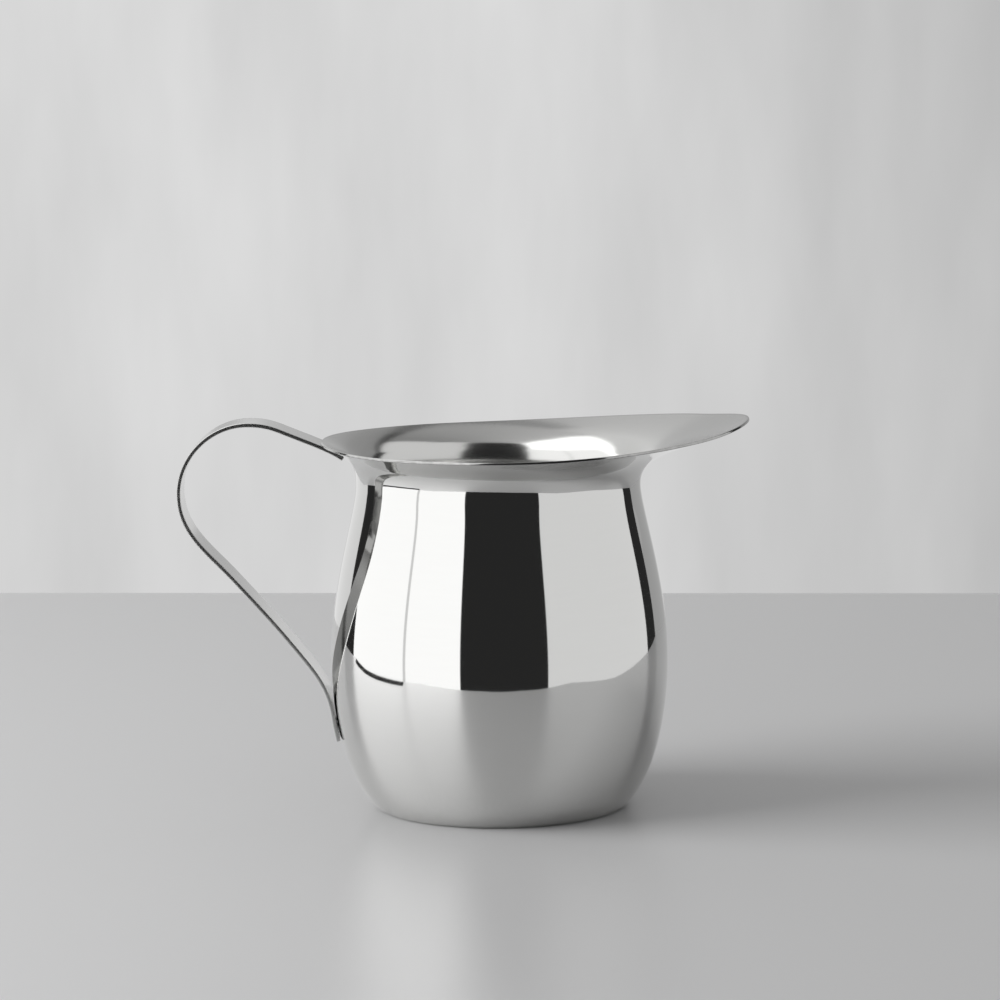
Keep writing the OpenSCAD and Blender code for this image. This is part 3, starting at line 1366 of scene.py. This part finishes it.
@dataclass
class Studio:
    """The table, the wall, the tent of soft boxes round the camera and the camera itself."""

    table_rim: tuple[Point, ...] = (
        (-0.29, 0.1), (-0.249, 0.03), (-0.218, -0.047), (-0.192, -0.098), (-0.168, -0.137),
        (-0.122, -0.16), (-0.079, -0.174), (-0.039, -0.183), (0.039, -0.183), (0.087, -0.172),
        (0.125, -0.165), (0.155, -0.155), (0.175, -0.125), (0.191, -0.085), (0.207, -0.045),
        (0.234, -0.005), (0.262, 0.045), (0.28, 0.1),
    )
    rail_points: int = 4
    rail_share: float = 0.88
    rail_lift: float = 0.02 * MM
    table_back: float = 0.287
    table_turn: float = 0.064
    table_side: float = 0.3
    floor_reach: float = 0.9
    floor_drop: float = 0.3 * MM
    wall_y: float = 1.6
    wall_w: float = 4.0
    wall_span: Point = (-2.0, 3.0)
    wall_shown_y: float = 0.62
    wall_step: float = 0.01
    wall_left: float = 0.67
    wall_right: float = 0.47
    wall_sweep: Point = (0.034, 0.4)
    mottle: float = 0.3
    mottle_scale: Place = (14.0, 1.0, 4.0)
    mottle_detail: float = 4.0
    mottle_roughness: float = 0.5
    ceiling: float = 0.7
    tent: float = 0.62
    tent_step: float = 0.02
    tent_foot: float = -0.3
    gap_distance: float = 0.95
    gap_foot: float = -0.4
    sky: float = 0.34
    spill: float = 0.4
    key_watts: float = 26.0
    key_w: float = 1.2
    key_place: Place = (-1.4, -0.26, 0.62)
    key_aim: Place = (1.4, 0.26, -0.5)
    white: float = 1.6
    white_again: float = 3.2
    ceiling_white: float = 2.3
    pale: float = 1.0
    dark: float = 0.03
    seam: float = 0.95
    camera_place: Place = (0.00037, -0.8203, 0.1707)
    camera_pitch: float = 7.43
    camera_roll: float = 0.54
    camera_range: Point = (0.01, 20.0)
    sensor_mm: float = 36.0
    focal_px: float = 4000.0
    picture_px: float = 1000.0

    def build(self) -> None:
        """Builds the whole stage."""
        self.table()
        self.wall()
        for panel in self.uprights() + self.wall_panels() + self.overheads():
            self.sheet(panel.name, panel.faces, self.paint(panel), "camera diffuse shadow")
        self.lamps()
        self.world()
        self.camera()

    def uprights(self) -> list[Panel]:
        """Lists the soft boxes and gaps that stand round the object.

        Returns:
            The panels.
        """
        far, near, gap = self.tent, self.tent - self.tent_step, self.gap_distance
        low, top, again = self.tent_foot, self.ceiling, {"again": self.white_again}
        return [
            Panel.upright("left_box", (-116.0, -67.0), far, (low, top), self.white, **again),
            Panel.upright("box_seam", (-67.0, -65.0), far, (low, top), self.seam),
            Panel.upright("front_left_box", (-65.0, -26.0), far, (low, top), self.white, **again),
            Panel.upright("camera_gap", (-26.0, 32.0), gap, (self.gap_foot, top), self.dark),
            Panel.upright("right_box", (32.0, 118.0), far, (low, top), self.pale),
            Panel.upright("left_gap", (-128.0, -115.0), near, (low, 0.28), self.dark),
            Panel.upright("left_box_top", (-128.0, -115.0), far, (0.28, top), self.ceiling_white),
            Panel.upright("right_gap", (118.0, 131.0), near, (low, 0.42), self.dark),
        ]

    def wall_panels(self) -> list[Panel]:
        """Lists the strips that the steel mirrors in place of the wall, from its foot to the
        ceiling, with painted shades of their own.

        Returns:
            The panels.
        """
        back, front, low = self.wall_shown_y, self.wall_shown_y - self.wall_step, self.tent_foot
        # Painted reflection: the strips are brighter than the wall to the upper left, darker to
        # the right and in a low band, with dark strips under the ceiling.
        # Each row: name, distance, left, right, heights, left shade, right shade, sweep
        rows = (
            ("wall_foot", back, -0.9, 0.9, (low, 0.07), 0.72, 0.46, (0.1, 0.24)),
            ("wall_dim", back, -0.9, 0.9, (0.07, 0.15), 0.52, None, (0.0, 1.0)),
            ("wall_low", back, -0.05, 0.9, (0.15, 0.27), 0.62, 0.42, (-0.05, 0.11)),
            ("wall_low_left", back, -0.9, -0.05, (0.15, 0.27), 0.95, 0.62, (-0.12, -0.05)),
            ("wall_top", back, -0.9, 0.9, (0.27, self.ceiling), 0.94, 0.41, (-0.13, 0.11)),
            ("wall_left_end", front, -0.9, -0.2, (low, 0.27), 0.95, None, (0.0, 1.0)),
            ("gap_right", front, 0.15, 0.9, (0.57, 0.69), self.dark, None, (0.0, 1.0)),
            ("gap_middle", front, 0.03, 0.15, (0.57, 0.69), 0.15, None, (0.0, 1.0)),
            ("gap_left", front, -0.06, 0.03, (0.57, 0.69), 0.35, None, (0.0, 1.0)),
        )
        return [
            Panel.ribbon(name, [(a, y), (b, y)], span, shade, right=right, sweep=sweep)
            for name, y, a, b, span, shade, right, sweep in rows
        ]

    def overheads(self) -> list[Panel]:
        """Lists the panels over the object.

        Returns:
            The panels.
        """
        z, back = self.ceiling, self.wall_shown_y - self.wall_step
        left = [(-0.115, -0.12), (-0.118, -0.06), (-0.127, 0.07), (-0.146, 0.224)]
        left += [(-0.15, 0.426), (-0.167, 0.592), (-0.383, 0.559)]
        right = [(0.172, -0.12), (0.172, -0.073), (0.264, 0.067), (0.286, 0.244)]
        right += [(0.307, 0.455), (0.35, back)]
        left_end = [(-0.93, 0.559), (-0.93, -0.3), (-0.3, -0.54)]
        right_end = [(0.93, back), (0.93, -0.3), (0.33, -0.52)]
        middle = right + [(-0.383, back)] + left[::-1]
        front = [left[0], right[0], right_end[-1], (0.6, -0.95), (-0.6, -0.95), left_end[-1]]
        graded = {"right": 0.36, "sweep": (-0.17, 0.24)}
        return [
            Panel.overhead("left_ceiling", left + left_end, z, self.ceiling_white),
            Panel.overhead("right_ceiling", right + right_end, z, self.pale),
            Panel.overhead("front_ceiling", front, z, self.dark),
            Panel.overhead("middle_ceiling", middle, z, 0.78, **graded),
        ]

    @staticmethod
    def sheet(
        name: str,
        faces: tuple[tuple[Place, ...], ...],
        material: bpy.types.Material,
        hidden: str = "",
    ) -> None:
        """Makes a flat or folded piece of the stage.

        Args:
            name: Its name.
            faces: The corners of each of its faces, in order.
            material: Its material.
            hidden: The kinds of ray that don't see it.
        """
        mesh, corners, rings = bpy.data.meshes.new(name), [], []
        for face in faces:
            rings.append(range(len(corners), len(corners) + len(face)))
            corners += face
        mesh.from_pydata(corners, [], rings)
        mesh.materials.append(material)
        made = bpy.data.objects.new(name, mesh)
        bpy.context.scene.collection.objects.link(made)
        for kind in hidden.split():
            setattr(made, "visible_" + kind, False)

    def paint(self, panel: Panel) -> bpy.types.Material:
        """Makes a panel's shining material.

        Args:
            panel: The panel.

        Returns:
            The material.
        """
        glow = Glow(panel.name)
        rays = glow.rays()
        spill = rays["Diffuse Depth"].node("GREATER_THAN", ONE_BOUNCE) * (self.spill - 1.0) + 1.0
        if panel.again is not None:
            again = rays["Glossy Depth"].node("GREATER_THAN", TWO_BOUNCES)
            return glow.shine(spill * (again * (panel.again - panel.shade) + panel.shade))
        if panel.right is not None:
            return glow.shine(spill * glow.ramp((panel.shade, panel.right), panel.sweep))
        return glow.shine(spill * panel.shade)

    def table(self) -> None:
        """Lays the table, a wide floor under it, and a strip along its left edge.

        Reflections don't show the floor, and show the strip dark.
        """
        rim, w, reach, slant = self.table_rim, self.table_side, self.floor_reach, self.table_turn
        table = rim + ((w, self.table_back - w * slant), (-w, self.table_back + w * slant))
        floor = (
            (-reach, -reach), (reach, -reach),
            (reach, self.table_back - reach * slant), (-reach, self.table_back + reach * slant),
        )
        laminate = Laminate().material()
        self.sheet("table", (tuple((*p, 0.0) for p in table),), laminate)
        self.sheet("floor", (tuple((*p, -self.floor_drop) for p in floor),), laminate, "glossy")
        path, z, share = rim[: self.rail_points], self.rail_lift, self.rail_share
        faces = [
            ((*a, z), (*b, z), (b[0] * share, b[1] * share, z), (a[0] * share, a[1] * share, z))
            for a, b in zip(path, path[1:])
        ]
        # Reflections see this strip dark: a painted dark line along the table's left edge.
        dark = Laminate("table_rail", painted_reflection_tint=(self.dark,) * 3, reflected_ior=1.0)
        self.sheet("table_rail", tuple(faces), dark.material())

    def wall(self) -> None:
        """Stands the mottled wall behind the table, with painted shade that darkens it to the
        right.
        """
        y, w, (low, top) = self.wall_y, self.wall_w, self.wall_span
        glow = Glow("wall_paint")
        # Painted shade: the wall's glow falls from left to right.
        shade = glow.ramp((self.wall_left, self.wall_right), self.wall_sweep)
        place = tuple(part * scale for part, scale in zip(glow.parts, self.mottle_scale))
        cloud = glow.noise(place, self.mottle_detail, self.mottle_roughness)
        shade = shade * ((cloud - 0.5) * self.mottle + 1.0)
        corners = ((-w, y, low), (w, y, low), (w, y, top), (-w, y, top))
        self.sheet("wall", (corners,), glow.shine(shade), "diffuse glossy shadow")

    def lamps(self) -> None:
        """Stands the key light on the left, as tall and wide as its soft box."""
        data = bpy.data.lights.new("key", "AREA")
        data.shape = "RECTANGLE"
        data.size = data.size_y = self.key_w
        data.energy = self.key_watts
        lamp = bpy.data.objects.new("key", data)
        lamp.location = self.key_place
        lamp.rotation_euler = Vector(self.key_aim).to_track_quat("-Z", "Y").to_euler()
        lamp.visible_camera = False
        lamp.visible_glossy = False
        bpy.context.scene.collection.objects.link(lamp)

    def world(self) -> None:
        """Sets the even light from all round, which the camera and reflections see as wall."""
        world = bpy.data.worlds.new("studio")
        world.use_nodes = True
        nodes = Nodes(world.node_tree)
        back = next(n for n in nodes.tree.nodes if n.type == "BACKGROUND")
        back.inputs["Color"].default_value = (1.0, 1.0, 1.0, 1.0)
        rays = nodes.results(nodes.add("ShaderNodeLightPath", {}))
        seen = rays["Is Camera Ray"] + rays["Is Glossy Ray"] + rays["Is Transmission Ray"]
        seen = seen.node("MINIMUM", 1.0) * rays["Diffuse Depth"].node("LESS_THAN", ONE_BOUNCE)
        shade = seen * (self.wall_left - self.sky) + self.sky
        nodes.tree.links.new(shade.socket, back.inputs["Strength"])
        bpy.context.scene.world = world

    def camera(self) -> None:
        """Sets the camera at the photograph's angle, for a picture of 1000 by 1000 pixels."""
        data = bpy.data.cameras.new("camera")
        data.sensor_width = self.sensor_mm
        data.lens = self.sensor_mm * self.focal_px / self.picture_px
        data.clip_start, data.clip_end = self.camera_range
        camera = bpy.data.objects.new("camera", data)
        tilt = Matrix.Rotation(math.radians(90.0 - self.camera_pitch), 4, "X")
        roll = Matrix.Rotation(math.radians(-self.camera_roll), 4, "Z")
        camera.matrix_world = Matrix.Translation(self.camera_place) @ tilt @ roll
        bpy.context.scene.collection.objects.link(camera)
        bpy.context.scene.camera = camera


def main() -> None:
    """Builds the creamer's pieces in order, then the stage."""
    logging.basicConfig(level=logging.INFO, format="%(name)s: %(message)s")
    bpy.context.scene.view_settings.view_transform = "Standard"
    effects = Effects()
    cup = DrawnCup()
    strap = HandleStrap(cup)
    pieces = [
        cup.build(CupSteel().material(effects)),
        strap.build(StrapSteel().material(effects, strap.lower_weld())),
        *SpotWelds().dress(frame["nodes"], WeldSteel().material(effects)),
    ]
    for piece in pieces:
        LOG.info("%s is ready, with %d faces", piece.name, len(piece.data.polygons))
    Studio().build()
    LOG.info("the stage is set")


if __name__ == "__main__":
    main()
